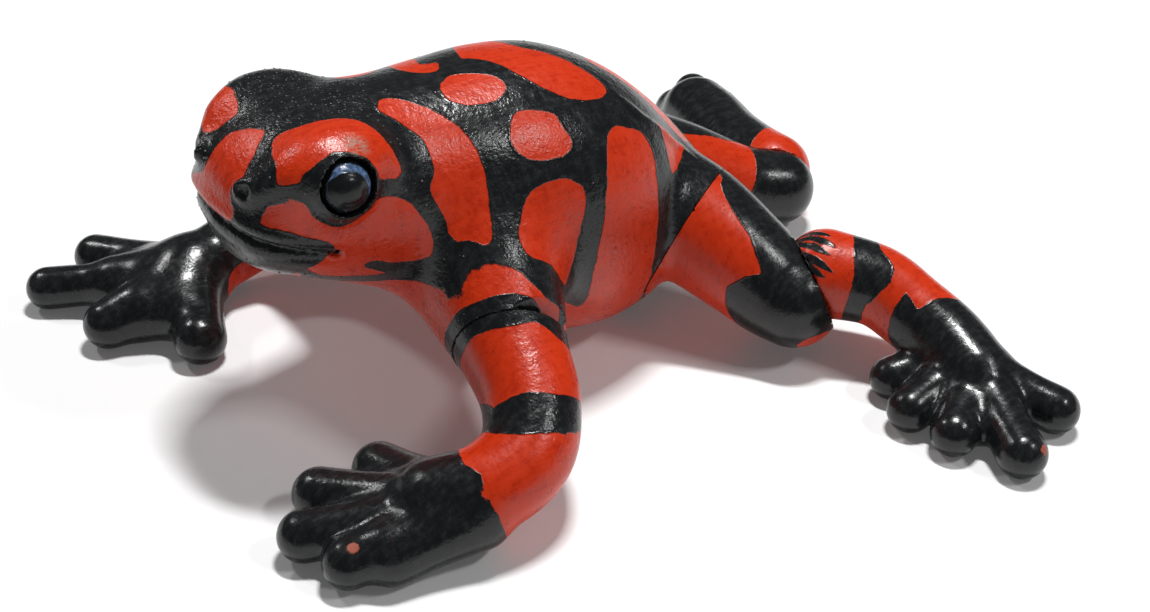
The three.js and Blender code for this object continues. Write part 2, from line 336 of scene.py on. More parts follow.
RIGHT_FOOT = [
    ((42.0, 19.8, 3.2), (39.8, 19.6, 2.4), 2.6),
    ((42.4, 21.2, 3.2), (40.7, 22.9, 2.2), 2.6),
    ((43.0, 21.8, 3.6), (42.3, 25.0, 2.5), 2.9),
    ((44.4, 22.6, 3.0), (47.4, 28.4, 2.3), 2.4),
    ((44.4, 21.2, 3.0), (48.0, 23.4, 2.1), 2.2),
]

# %% [markdown]
# Each limb is a separate moulding with a barbed peg. The seams sit where the paint or a crease hides them.
# `inner` holds the socket and `outer` the peg. `melt` is the width of the fillet that runs over the seam, and
# `room` is the radius of a round pocket for a limb that turns inside the rump.

# %% Swivel seams
SEAMS = {
    "left_shoulder": {"at": (-9.9, -17.0, 11.6), "axis": (-0.42, -0.87, -0.27), "radius": 5.3,
                      "inner": "trunk", "outer": "left_arm", "melt": 3.0},
    "right_shoulder": {"at": (-10.3, 16.8, 11.4), "axis": (-0.44, 0.85, -0.29), "radius": 5.3,
                       "inner": "trunk", "outer": "right_arm", "melt": 3.0},
    "left_hip": {"at": (17.1, -9.0, 11.6), "axis": (0.46, -0.80, -0.39), "radius": 6.5,
                 "inner": "trunk", "outer": "left_thigh", "melt": 1.2},
    "right_hip": {"at": (21.4, 6.2, 10.2), "axis": (0.90, -0.12, -0.42), "radius": 6.2, "room": 7.2,
                  "inner": "trunk", "outer": "right_thigh", "melt": 1.2},
    "left_knee": {"at": (24.1, -20.7, 7.2), "axis": (0.85, -0.37, 0.36), "radius": 3.7,
                  "inner": "left_thigh", "outer": "left_shank"},
    "right_knee": {"at": (38.3, 1.9, 4.7), "axis": (0.62, 0.77, 0.12), "radius": 4.1,
                   "inner": "right_thigh", "outer": "right_shank"},
}
SEAM_GAP, SOCKET_ROOM = 0.08, 0.2
PEG_NECK, PEG_BARB, PEG_LENGTH = 1.5, 2.0, 4.6


def peg(points, seam, room=0.0):
    """A barbed peg pointing inwards from its seam, or the room around it."""
    at, axis = np.array(seam["at"], float), unit(seam["axis"])
    neck = cone(points, at + axis * 0.6, at - axis * (PEG_LENGTH - 1), PEG_NECK + room, PEG_NECK + room)
    barb = cone(points, at - axis * (PEG_LENGTH - 1.6), at - axis * (PEG_LENGTH - 0.8),
                PEG_BARB + room, PEG_NECK * 0.8 + room)
    return np.minimum(neck, barb)


print("seams:", ", ".join(SEAMS))

# %% [markdown]
# The head is the trunk's front end with its details melted on: two brow ridges over the eyes, a socket ring
# round each eye, the nostrils, and a mouth that is a groove with the lower jaw set back under the lip.

# %% Head details
BROW = {"x": -21.2, "y": 6.6, "z": 29.2, "radii": (5.4, 3.6, 3.6)}
HIP_CREASE = [(7.6, 16), (9.6, 28), (11.6, 36), (14.2, 41), (16.9, 47), (18.2, 60)]
EYE = {"x": -21.5, "y": 8.7, "z": 28.6, "radius": 2.5, "aim": (-0.12, 1.0, 0.18)}
NOSTRIL = {"at": (-28.8, -4.2, 28.4), "rim": 0.8, "radii": (0.7, 0.85, 1.05)}
MOUTH_FRONT, MOUTH_SLOPE, MOUTH_CORNER = 24.7, -0.33, -22.8
JAW_SET_BACK, LIP_ROLL, GROOVE_DEPTH, GROOVE_WIDTH = 0.35, 0.2, 0.6, 0.36
CREASE_RADIUS, CREASE_RISE, CREASE_WIDTH = 10.5, 0.36, 0.42
TRUNK_ROWS = smooth_line(TRUNK, 6)


def trunk_map(points):
    """x, and degrees round from the spine towards the frog's left."""
    middle = np.interp(points[:, 0], TRUNK_ROWS[:, 0], (TRUNK_ROWS[:, 1] + TRUNK_ROWS[:, 2]) / 2)
    return points[:, 0], np.degrees(np.arctan2(-points[:, 1], points[:, 2] - middle))


def crease_distance(points):
    """Distance to the raised fold that runs from the spine down to the hip."""
    x, angle = trunk_map(points)
    v = angle * math.radians(CREASE_RADIUS)
    out = np.full(len(points), 9.0)
    for (u0, a0), (u1, a1) in zip(HIP_CREASE[:-1], HIP_CREASE[1:]):
        v0, v1 = a0 * math.radians(CREASE_RADIUS), a1 * math.radians(CREASE_RADIUS)
        du, dv = u1 - u0, v1 - v0
        t = np.clip(((x - u0) * du + (v - v0) * dv) / (du ** 2 + dv ** 2), 0, 1)
        out = np.minimum(out, np.hypot(x - u0 - t * du, v - v0 - t * dv))
    return out


def mouth_height(x):
    return MOUTH_FRONT + MOUTH_SLOPE * (x + 30)


def mirrored(points):
    """Folds the right side onto the left, so that one side's details serve both."""
    out = points.copy()
    out[:, 1] = -np.abs(out[:, 1])
    return out


def eye_centre(side):
    return np.array([EYE["x"], side * EYE["y"], EYE["z"]])


def head_and_trunk(points):
    d = sample(trunk_grid, points)
    near_head = points[:, 0] < -8
    p = mirrored(points[near_head])
    h = d[near_head]
    below = p[:, 2] - mouth_height(p[:, 0])
    mouth_zone = smooth_step(MOUTH_CORNER + 1.5, MOUTH_CORNER - 2.5, p[:, 0])
    # The jaw is set back, and each lip is a soft roll.
    h = h + JAW_SET_BACK * mouth_zone * smooth_step(0.25, -0.35, below)
    h = h - LIP_ROLL * mouth_zone * np.exp(-((below - 0.9) / 0.7) ** 2)
    h = h - LIP_ROLL * mouth_zone * np.exp(-((below + 1.5) / 0.7) ** 2)
    # The brow, and the ridge that runs from it to the nostril.
    h = melt(h, ball(p, (BROW["x"], -BROW["y"], BROW["z"]), BROW["radii"]), 2.5)
    h = melt(h, cone(p, (-25.4, -6.6, 29.6), (-28.0, -4.9, 28.4), 0.9, 0.7), 1.6)
    # The eye's ring, the lid's fold under it, and the socket.
    centre = eye_centre(-1)
    h = melt(h, lengths(p - centre) - EYE["radius"] - 0.6, 0.8)
    h = melt(h, cone(p, centre + [2.2, 0.2, -2.6], centre + [-2.4, 0.4, -2.9], 0.7, 0.6), 0.7)
    h = carve(h, lengths(p - centre - [0, -1.3, 0.35]) - EYE["radius"] - 0.1, 0.25)
    # The mouth's groove and its corner.
    h = h + GROOVE_DEPTH * mouth_zone * np.exp(-(below / GROOVE_WIDTH) ** 2)
    corner = (MOUTH_CORNER, -9.3, mouth_height(MOUTH_CORNER) - 0.1)
    h = carve(h, ball(p, corner, (0.6, 1.1, 0.45)), 0.4)
    nostril = np.array(NOSTRIL["at"])
    h = melt(h, lengths(p - nostril) - NOSTRIL["rim"], 0.7)
    h = carve(h, ball(p, nostril + [-0.4, -0.7, 0.3], NOSTRIL["radii"]), 0.25)
    d[near_head] = h
    rump = (points[:, 0] > 6) & (points[:, 0] < 21) & (d < 2)
    if rump.any():
        p = mirrored(points[rump])
        fold = np.exp(-(crease_distance(p) / CREASE_WIDTH) ** 2)
        d[rump] -= CREASE_RISE * smooth_step(8.5, 12, p[:, 0]) * fold
    return d


print("mouth corner at height", round(mouth_height(MOUTH_CORNER), 2), "mm")

# %% [markdown]
# A limb is its roll with the fingers or toes melted on. The last number is how far neighbours melt together.

# %% Whole limbs
LIMBS = {
    "left_arm": (LEFT_ARM, LEFT_HAND, 0.9), "right_arm": (RIGHT_ARM, RIGHT_HAND, 1.7),
    "left_thigh": (LEFT_THIGH, [], 0.0), "right_thigh": (RIGHT_THIGH, [], 0.0),
    "left_shank": (LEFT_SHANK, LEFT_FOOT, 0.9), "right_shank": (RIGHT_SHANK, RIGHT_FOOT, 0.9),
}


def limb(name, points):
    line, fan, web = LIMBS[name]
    d = tube(points, line)
    for root, pad, size in fan:
        root, pad = np.array(root), np.array(pad)
        middle = root * 0.45 + pad * 0.55
        d = melt(d, tube(points, [(*root, size * 1.1), (*middle, size * 0.98), (*pad, size)], 8), web)
    return d


def floor_cut(points, d, width=0.4):
    """Flattens whatever reaches under the floor, with a soft edge."""
    return -melt(-d, points[:, 2], width)


print("limbs:", {name: len(fan) for name, (line, fan, web) in LIMBS.items()})

# %% [markdown]
# A limb melts into the trunk before the two are parted at the seam, so the skin runs across the joint. Each
# limb keeps what lies outside its seam and close to its own roll.

# %% Pieces
LIMB_REACH, POCKET_DEPTH, SEAM_REACH = 2.4, 7, 16


def limb_zone(points, limb_d, seam, gap):
    """Negative where the skin belongs to the limb: outside its seam and within reach of its roll."""
    out = plane_side(points, seam, gap)
    side = limb_d - LIMB_REACH
    if "room" in seam:
        axis = unit(seam["axis"])
        rel = points - seam["at"]
        across = lengths(rel - (rel @ axis)[:, None] * axis)
        side = np.minimum(across - seam["room"], POCKET_DEPTH - out)
    return np.maximum(-out, side + gap)


def trunk_field(points):
    d = head_and_trunk(points)
    for seam in SEAMS.values():
        if seam["inner"] != "trunk":
            continue
        close = lengths(points - seam["at"]) < SEAM_REACH
        p = points[close]
        limb_d = limb(seam["outer"], p)
        joined = melt(d[close], limb_d, seam["melt"])
        joined = np.maximum(joined, -limb_zone(p, limb_d, seam, -SEAM_GAP / 2))
        d[close] = np.maximum(joined, -peg(p, seam, SOCKET_ROOM))
    return floor_cut(points, d)


def limb_field(name, points):
    d = limb(name, points)
    for seam in SEAMS.values():
        if seam["outer"] == name and seam["inner"] == "trunk":
            joined = melt(head_and_trunk(points), d, seam["melt"])
            d = np.maximum(joined, limb_zone(points, d, seam, SEAM_GAP / 2))
        elif seam["outer"] == name:
            d = np.maximum(d, -plane_side(points, seam, SEAM_GAP / 2))
        elif seam["inner"] == name:
            d = np.maximum(d, plane_side(points, seam, -SEAM_GAP / 2))
            d = np.maximum(d, -peg(points, seam, SOCKET_ROOM))
    own = next(seam for seam in SEAMS.values() if seam["outer"] == name)
    return floor_cut(points, np.minimum(d, peg(points, own)))


def piece_field(name, points):
    return trunk_field(points) if name == "trunk" else limb_field(name, points)


# The box in which each piece is sculpted.
PIECES = {
    "trunk": ((-33, -18, -1), (30, 18, 36)),
    "left_arm": ((-38, -32, -1), (-1, -8, 20)),
    "right_arm": ((-42, 8, -1), (-1, 39, 20)),
    "left_thigh": ((8, -28, -1), (31, -2, 21)),
    "right_thigh": ((13, -7, -1), (43, 15, 20)),
    "left_shank": ((17, -52, -1), (40, -14, 14)),
    "right_shank": ((31, -7, -1), (53, 34, 12)),
}
print(len(PIECES), "pieces to sculpt")

# %% [markdown]
# ## The paint plan
# The frog was cast in red and the black was brushed on around red patches. Each skin point gets `ink`, its
# signed distance in millimetres to the nearest brushed edge, positive on the black side. The enamel material
# turns that distance into a crisp, slightly shaky edge, so the border stays sharp however coarse the skin is.


# %% Outlines and bands
def outline_distance(u, v, outline):
    """Signed distance to a closed smooth outline, negative inside it."""
    rows = np.array(outline, float)
    curve = np.array(spline(np.vstack([rows[-1], rows, rows[:2]]), 5))
    best = np.full(len(u), 1e6)
    inside = np.zeros(len(u), bool)
    for (u0, v0), (u1, v1) in zip(curve, np.roll(curve, -1, 0)):
        du, dv = u1 - u0, v1 - v0
        t = np.clip(((u - u0) * du + (v - v0) * dv) / max(du * du + dv * dv, 1e-12), 0, 1)
        best = np.minimum(best, (u - u0 - t * du) ** 2 + (v - v0 - t * dv) ** 2)
        if v0 != v1:
            inside ^= ((v0 > v) != (v1 > v)) & (u < u0 + (v - v0) * du / dv)
    return np.where(inside, -1, 1) * np.sqrt(best)


def trunk_outline_distance(points, outline):
    x, angle = trunk_map(points)
    rows = np.array(outline, float)
    radius = np.interp(rows[:, 0].mean(), TRUNK_ROWS[:, 0],
                       (TRUNK_ROWS[:, 3] + (TRUNK_ROWS[:, 1] - TRUNK_ROWS[:, 2]) / 2) / 2)
    scale = math.radians(1) * radius
    out = np.full(len(points), 6.0)
    for turn in (-360, 0, 360):
        v = (angle + turn) * scale
        curve = rows * (1, scale)
        near = (x > curve[:, 0].min() - 3) & (x < curve[:, 0].max() + 3)
        near &= (v > curve[:, 1].min() - 3) & (v < curve[:, 1].max() + 3)
        if near.any():
            out[near] = np.minimum(out[near], outline_distance(x[near], v[near], curve))
    return out


def limb_map(points, stations):
    """Millimetres along a limb's line, and degrees round it from the top."""
    line = smooth_line(stations, 8)[:, :3]
    step = np.diff(line, axis=0)
    length = lengths(step)
    start = np.concatenate([[0], np.cumsum(length)])
    best = np.full(len(points), 1e9)
    along, angle = np.zeros(len(points)), np.zeros(len(points))
    for i, (origin, seg) in enumerate(zip(line[:-1], step)):
        low, high = (-9 if i == 0 else 0), (9 if i == len(step) - 1 else 1)
        t = np.clip((points - origin) @ seg / length[i] ** 2, low, high)
        away = points - origin - t[:, None] * seg
        gap = lengths(away)
        tangent = seg / length[i]
        up = np.array([0, 0, 1]) - tangent * tangent[2]
        up /= np.linalg.norm(up)
        closer = gap < best
        best[closer] = gap[closer]
        along[closer] = start[i] + t[closer] * length[i]
        angle[closer] = np.degrees(np.arctan2(away[closer] @ np.cross(tangent, up), away[closer] @ up))
    return along, angle, best


def past_edge(along, angle, edge):
    """How far a point lies beyond a ring drawn round a limb as (degrees, millimetres along)."""
    edge = sorted(edge)
    return along - np.interp(angle, [e[0] for e in edge], [e[1] for e in edge], period=360)


print("paint tools ready")

# %% [markdown]
# Red patches on the trunk, drawn as (x in millimetres, degrees from the spine towards the left side). The
# right side repeats the left one with small differences, as a painter's second pass would.

# %% Trunk patches
HEAD_PATCHES = {
    "brow": [(-25.8, 35), (-24.5, 22), (-22.5, 25), (-19.5, 28), (-18.2, 31), (-17.1, 38), (-15.8, 59),
             (-18.7, 62), (-19.1, 55), (-19.9, 52), (-21.8, 49), (-23.4, 51), (-24.9, 54), (-25.5, 57),
             (-26.8, 54), (-26.2, 43)],
    "cheek": [(-28.4, 75), (-27.6, 64), (-26.5, 63), (-25.5, 67), (-24.4, 78), (-22.7, 85), (-21.2, 83),
              (-19.7, 74), (-17.7, 71), (-16.1, 73), (-15.1, 79), (-14.2, 88), (-14.1, 97), (-14.9, 104),
              (-17.4, 109), (-19.5, 108), (-20.2, 114), (-18.2, 119), (-22.8, 127), (-24.2, 123),
              (-24.9, 114), (-23.1, 101), (-23.4, 94), (-25.1, 88), (-26.8, 82)],
    "chin": [(-29.3, 116), (-25.6, 124), (-24.6, 150), (-24.6, 184), (-27.4, 184), (-28.8, 150)],
}
SNOUT_PATCHES = {
    "near_snout": [(-29.5, -39), (-28.9, -27), (-27.3, -20), (-26.3, -13), (-24.8, 8), (-25.4, 15),
                   (-28.2, 35), (-28.9, 34), (-29.3, 38), (-29.7, 62), (-30.8, 66), (-31.2, -20),
                   (-30.8, -95), (-29.6, -80)],
    "far_snout": [(-28.6, -50), (-28.2, -62), (-25.6, -62), (-24.5, -50), (-24.4, -35), (-25.1, -27),
                  (-26.1, -30), (-27.2, -37)],
}
BODY_PATCHES = {
    "blade": [(-14.8, 20), (-13.8, 15), (-11.8, 19), (-9.5, 31), (-8.3, 42), (-8.0, 54), (-8.3, 67),
              (-9.4, 87), (-11.3, 90), (-12.4, 91), (-12.7, 81), (-13.4, 68), (-12.5, 57), (-12.4, 43),
              (-13.5, 33), (-14.8, 25)],
    "spot": [(-4.0, 39), (-2.8, 33), (-1.2, 33), (0.6, 35), (1.0, 41), (1.3, 47), (0.2, 51), (-2.2, 53),
             (-3.8, 52), (-4.6, 47)],
    "shield": [(-5.3, 72), (-3.8, 65), (-1.7, 61), (-0.1, 61), (1.2, 66), (0.2, 80), (-2.1, 103),
               (-4.5, 93), (-7.0, 88)],
    "flank": [(4.8, 51), (6.5, 42), (8.6, 42), (10.4, 44), (10.9, 53), (10.5, 65), (9.7, 94), (9.6, 113),
              (10.4, 150), (10.6, 186), (-5.0, 186), (-4.9, 150), (-4.9, 108), (0.9, 122), (1.7, 99),
              (2.8, 78)],
    "hip_drop": [(13.8, 36), (16.9, 45), (16.2, 52), (13.4, 62), (13.8, 46)],
    "chest": [(-21, 140), (-15.1, 117), (-11.8, 99), (-8.8, 94), (-6.7, 100), (-5.4, 104), (-6.5, 118),
              (-7.2, 150), (-7.2, 186), (-22, 186), (-22, 160)],
}
SPINE_PATCHES = {
    "nape": [(-9.5, -14), (-8.8, -28), (-6.2, -26), (-7.2, -10), (-5.8, -6), (-6.7, 1), (-8.3, 0),
             (-9.4, -7)],
    "shoulder_drop": [(-8.1, 15), (-6.6, 8), (-4.9, 8), (-2.7, 13), (-2.2, 19), (-3.3, 25), (-5.2, 27),
                      (-7.1, 26), (-8.1, 22)],
    "sash": [(-3.3, -5), (-1.5, -22), (1.6, -24), (2.9, -5), (4.6, 2), (6.6, 10), (8.5, 23), (6.5, 30),
             (2.9, 29), (0.2, 18), (-1.2, 6), (-2.7, -2)],
    "far_rump": [(10.0, 4), (14.0, 18), (18.6, 40), (19.6, 30), (16.0, 10), (11.6, -4)],
}


def to_right(outline, shift=0.5, squeeze=0.97):
    return [(x + shift * math.sin(x), -angle * squeeze if angle < 180 else -angle) for x, angle in outline]


trunk_patches = [outline for group in (HEAD_PATCHES, SNOUT_PATCHES, BODY_PATCHES, SPINE_PATCHES)
                 for outline in group.values()]
trunk_patches += [to_right(HEAD_PATCHES[name], 0.2, 1.0) for name in ("cheek", "chin")]
trunk_patches += [[(min(x, -24.2), -18 - 0.8 * angle) for x, angle in HEAD_PATCHES["brow"]]]
trunk_patches += [to_right(outline) for outline in BODY_PATCHES.values()]
print(len(trunk_patches), "red patches on the trunk")

# %% [markdown]
# Limbs are banded. An edge is a ring of (degrees round from the top, millimetres along the limb's line).

# %% Limb bands
LEFT_ARM_EDGES = {
    "band_1_start": [(-173, 10.6), (-130, 11.3), (-87, 10.8), (-46, 9.5), (-3, 8.2), (49, 7.5), (102, 7.9),
                     (146, 9.1)],
    "band_1_end": [(-132, 13.9), (-78, 13.2), (-40, 12.3), (-16, 10.8), (7, 10.9), (50, 10.2), (93, 10.6),
                   (135, 11.8), (177, 13.3)],
    "band_2_start": [(-73, 16.9), (-20, 17.3), (9, 17.2), (32, 17.6), (50, 17.9), (62, 17.0), (90, 15.6),
                     (150, 15.8), (-140, 16.2)],
    "band_2_end": [(-82, 19.0), (-30, 20.5), (-5, 21.7), (14, 22.6), (60, 23.0), (100, 22.0), (160, 20.0),
                   (-130, 18.8)],
    "glove": [(-114, 26.2), (-82, 26.2), (-50, 26.4), (-28, 26.0), (-7, 27.0), (40, 27.6), (100, 27.6),
              (160, 26.8)],
}
KNEE_EDGE = [(20, 13.4), (38, 13.0), (46, 14.2), (60, 13.0), (82, 12.3), (101, 13.3), (129, 15.1),
             (170, 16.0), (-120, 15.0), (-60, 13.8)]
THIGH_STRIPE = [(-8, -30), (0, -26), (4.6, -14), (6.1, 8), (8.4, 19), (10.7, 25), (12.9, 38), (15, 40),
                (17, 0), (17, -120), (8, -150), (-8, -150)]
KNEE_DROP = {"at": (21.6, -23.9, 3.2), "radius": 1.7}
SHANK_START = [(2, 2.1), (60, 2.9), (119, 2.5), (-150, 2.0), (-60, 1.7)]
SHANK_END = [(-50, 3.7), (1, 4.6), (18, 6.1), (40, 6.5), (71, 6.0), (90, 5.2), (117, 5.5), (-150, 3.8)]
SOCK = [(-60, 12.7), (-20, 12.2), (7, 11.2), (44, 10.5), (77, 10.7), (101, 11.8), (140, 12.7), (-120, 13.2)]
KNEE_STROKES = [(4, 0.0), (18, 0.8), (33, 0.4), (50, 1.0), (63, 0.6)]
RIGHT_THIGH_RED = [(8, 40), (13.3, 18), (17, 2), (20.6, -12), (21.2, 23), (21.0, 60), (19.6, 110),
                   (14, 130), (8, 110)]
RIGHT_KNEE_RIM = [(-33, 0.9), (23, 3.0), (60, 3.0), (100, 2.5), (180, 1.0), (-100, 0.5)]
RIGHT_ARM_RED = [(27.4, -100), (25.4, -84), (22, -84), (17, -78), (12, -85), (12, -150), (20, -150),
                 (26.5, -140)]
GATE_MARKS = [((-31.5, -25.3, 4.6), 0.5), ((27.3, -48.9, 3.5), 0.5)]


def limb_outline(along, angle, outline, radius=5.0):
    scale = math.radians(1) * radius
    return outline_distance(along, angle * scale, np.array(outline, float) * (1, scale))


def left_arm_ink(points):
    along, angle, _ = limb_map(points, LEFT_ARM)
    e = {name: past_edge(along, angle, edge) for name, edge in LEFT_ARM_EDGES.items()}
    ink = np.minimum(e["band_1_start"], -e["band_1_end"])
    ink = np.maximum(ink, np.minimum(e["band_2_start"], -e["band_2_end"]))
    return np.maximum(ink, e["glove"])


def right_arm_ink(points):
    along, angle, _ = limb_map(points, RIGHT_ARM)
    red = limb_outline(along, angle, RIGHT_ARM_RED, 4.2)
    folded = left_arm_ink(points * (1, -1, 1))
    outer = smooth_step(0, 30, angle)
    return np.minimum(red, np.where(outer > 0.5, np.maximum(folded, 2 - 4 * outer), 4.0))


def left_thigh_ink(points):
    along, angle, _ = limb_map(points, LEFT_THIGH)
    ink = np.maximum(-limb_outline(along, angle, THIGH_STRIPE, 5.4), past_edge(along, angle, KNEE_EDGE))
    notch = np.abs(points[:, 0] - points[:, 2] * 0.4 - 19.6) * 0.6
    drop = lengths(points - KNEE_DROP["at"]) - KNEE_DROP["radius"]
    return np.minimum(ink, drop - notch * 0.3)


def right_thigh_ink(points):
    along, angle, _ = limb_map(points, RIGHT_THIGH)
    return limb_outline(along, angle, RIGHT_THIGH_RED, 5.2)


def left_shank_ink(points):
    along, angle, _ = limb_map(points, LEFT_SHANK)
    ink = np.minimum(past_edge(along, angle, SHANK_START), -past_edge(along, angle, SHANK_END))
    ink = np.maximum(ink, past_edge(along, angle, SOCK))
    first_toe = np.minimum(28.0 - points[:, 0], -29.2 - points[:, 1])
    ink = np.maximum(ink, first_toe)
    for degrees, tip in KNEE_STROKES:
        away = np.abs(angle - degrees - 5 * along) * math.radians(4.2)
        ink = np.maximum(ink, np.minimum(np.clip(tip - along, 0, 2) * 0.28, 0.40) - away)
    ring = np.abs(lengths(points - (30.5, -30.6, 9.0)) - 0.45) - 0.1
    return np.maximum(ink, -ring)


def right_shank_ink(points):
    along, angle, _ = limb_map(points, RIGHT_SHANK)
    return past_edge(along, angle, RIGHT_KNEE_RIM)


def trunk_ink(points):
    ink = np.full(len(points), 6.0)
    for outline in trunk_patches:
        ink = np.minimum(ink, trunk_outline_distance(points, outline))
    for side in (1, -1):
        p = points * (1, side, 1)
        stripe = cone(p, eye_centre(-1) + [-0.6, 0, 0], (-28.9, -4.8, 28.4), 2.5, 1.0)
        ink = np.maximum(ink, -stripe)
        ink = np.maximum(ink, EYE["radius"] + 0.75 - lengths(p - eye_centre(-1)))
        along, angle, away = limb_map(p, LEFT_ARM)
        band = past_edge(along, angle, LEFT_ARM_EDGES["band_1_start"])
        ink = np.maximum(ink, np.where((along > 5) & (away < 7), band, -6.0))
    x = points[:, 0]
    under_lip = mouth_height(x) - points[:, 2]
    lips = np.abs(under_lip) - np.interp(x, [-29.6, -28.4, -26, -23], [0.5, 1.3, 1.4, 0.3])
    lips = np.maximum(lips, x - MOUTH_CORNER - 0.6)
    jaw = np.minimum(np.minimum(under_lip, 4.6 - under_lip), -25.5 - x)
    # Faces more than 0.8 mm inside the uncut skin (the cut faces in the seams, the sockets and the rump's
    # pocket) are inked black as painted shade in the gaps between the pieces.
    painted_shade_in_cuts = -0.8 - head_and_trunk(points)
    ink = np.maximum(ink, painted_shade_in_cuts)
    return np.where(x < -20, np.maximum(np.maximum(ink, -lips), jaw), ink)


INK = {
    "trunk": trunk_ink, "left_arm": left_arm_ink, "right_arm": right_arm_ink, "left_thigh": left_thigh_ink,
    "right_thigh": right_thigh_ink, "left_shank": left_shank_ink, "right_shank": right_shank_ink,
}
print("ink rules for", ", ".join(INK))

# %% [markdown]
# ## Enamel
# Small node groups give masks and heights. They are plain sums of noise and stored distances, so they look
# the same from every side, and the enamel material only decides which socket each one drives.


# %% Shader helpers
class Nodes:
    """A short way to add nodes: every call returns the new node's first output."""

    def __init__(self, tree):
        self.tree = tree

    def add(self, kind, inputs=None, output=0, **settings):
        node = self.tree.nodes.new(kind)
        for key, value in settings.items():
            setattr(node, key, value)
        self.fill(node, inputs or {})
        return node.outputs[output]

    def fill(self, node, inputs):
        """Links or sets a node's inputs."""
        for key, value in inputs.items():
            self.feed(node.inputs[key], value)

    def feed(self, socket, value):
        if isinstance(value, bpy.types.NodeSocket):
            self.tree.links.new(value, socket)
        else:
            socket.default_value = value

    def math(self, operation, a, b=0.0, c=0.0):
        return self.add("ShaderNodeMath", {0: a, 1: b, 2: c}, operation=operation)

    def times(self, a, b):
        return self.math("MULTIPLY", a, b)

    def plus(self, a, b):
        return self.math("ADD", a, b)

    def times_plus(self, a, b, c):
        return self.math("MULTIPLY_ADD", a, b, c)

    def noise(self, where, scale, detail=2.0, roughness=0.5):
        inputs = {"Vector": where, "Scale": scale, "Detail": detail, "Roughness": roughness}
        return self.add("ShaderNodeTexNoise", inputs)

    def ramp(self, value, low, high, to_low=0.0, to_high=1.0):
        inputs = {"Value": value, "From Min": low, "From Max": high, "To Min": to_low, "To Max": to_high}
        return self.add("ShaderNodeMapRange", inputs, interpolation_type="SMOOTHSTEP")

    def stretch(self, where, scale):
        return self.add("ShaderNodeMapping", {"Vector": where, "Scale": scale})

    def mix(self, factor, a, b):
        node = self.tree.nodes.new("ShaderNodeMix")
        node.data_type = "RGBA"
        for key, kind, value in (("Factor", "VALUE", factor), ("A", "RGBA", a), ("B", "RGBA", b)):
            self.feed(next(s for s in node.inputs if s.name == key and s.type == kind), value)
        return next(s for s in node.outputs if s.type == "RGBA")

    def bump(self, height):
        return self.add("ShaderNodeBump", {"Height": height, "Distance": 0.001, "Strength": 1.0})

    def stored(self, name):
        return self.add("ShaderNodeAttribute", output=2, attribute_name=name)

    def group(self, tree, inputs):
        node = self.tree.nodes.new("ShaderNodeGroup")
        node.node_tree = tree
        self.fill(node, inputs)
        return node.outputs


def shader_group(name, numbers, outputs, build):
    """Makes a node group of a place and some numbers; build(nodes, sockets) returns its outputs in order."""
    tree = bpy.data.node_groups.new(name, "ShaderNodeTree")
    tree.interface.new_socket("Where", in_out="INPUT", socket_type="NodeSocketVector")
    for key, default in numbers.items():
        socket = tree.interface.new_socket(key, in_out="INPUT", socket_type="NodeSocketFloat")
        socket.default_value = default
    for key in outputs:
        tree.interface.new_socket(key, in_out="OUTPUT", socket_type="NodeSocketFloat")
    entry = tree.nodes.new("NodeGroupInput")
    leave = tree.nodes.new("NodeGroupOutput")
    results = build(Nodes(tree), entry.outputs)
    for key, result in zip(outputs, results):
        tree.links.new(result, leave.inputs[key])
    return tree


def make_material(name, build):
    """Makes a Principled material; build(nodes) returns its inputs, as sockets or plain values."""
    material = bpy.data.materials.new(name)
    material.use_nodes = True
    n = Nodes(material.node_tree)
    n.fill(material.node_tree.nodes["Principled BSDF"], build(n))
    return material


print("shader helpers ready")

# %% [markdown]
# `brushed_edge` turns the signed distance into the black mask and the little ridge of thick paint beside the
# border. `brush_streaks` is noise drawn out along the body. `skin_grain` is the cast vinyl's orange peel,
# which breaks up highlights. `paint_pits` are burst bubbles and dust in the black coat.


# %% Enamel groups
def build_edge(n, s):
    wobble = s["Wobble"]
    slow = n.times_plus(n.noise(s["Where"], 900.0), wobble, n.times(wobble, -0.5))
    fine = n.times(wobble, 0.35)
    fine = n.times_plus(n.noise(s["Where"], 4200.0), fine, n.times(wobble, -0.17))
    edge = n.plus(s["Ink"], n.plus(slow, fine))
    mask = n.ramp(edge, -0.045, 0.045)
    near = n.math("DIVIDE", n.math("SUBTRACT", edge, 0.1), 0.13)
    ridge = n.math("EXPONENT", n.times(n.times(near, near), -1.0))
    return mask, n.times_plus(mask, 0.02, n.times(ridge, 0.022)), ridge


brushed_edge = shader_group("brushed_edge", {"Ink": 0.0, "Wobble": 0.3}, ["Mask", "Height", "Ridge"],
                            build_edge)


def build_streaks(n, s):
    along = n.noise(n.stretch(s["Where"], (0.28, 1.6, 0.8)), 1500.0, 4.0, 0.6)
    across = n.noise(n.stretch(s["Where"], (1.3, 0.9, 0.25)), 1100.0, 3.0, 0.6)
    streak = n.times(n.plus(along, across), 0.5)
    scratch = n.ramp(n.noise(n.stretch(s["Where"], (0.35, 2.2, 1.6)), 2600.0, 3.0, 0.7), 0.64, 0.74)
    return streak, scratch


brush_streaks = shader_group("brush_streaks", {}, ["Streak", "Scratch"], build_streaks)


def build_grain(n, s):
    peel = n.noise(s["Where"], 1300.0, 3.0, 0.65)
    pock = n.noise(s["Where"], 3400.0, 2.0, 0.5)
    height = n.times_plus(peel, 0.075, n.times(pock, 0.03))
    return (n.times(height, s["Amount"]),)


skin_grain = shader_group("skin_grain", {"Amount": 1.0}, ["Height"], build_grain)


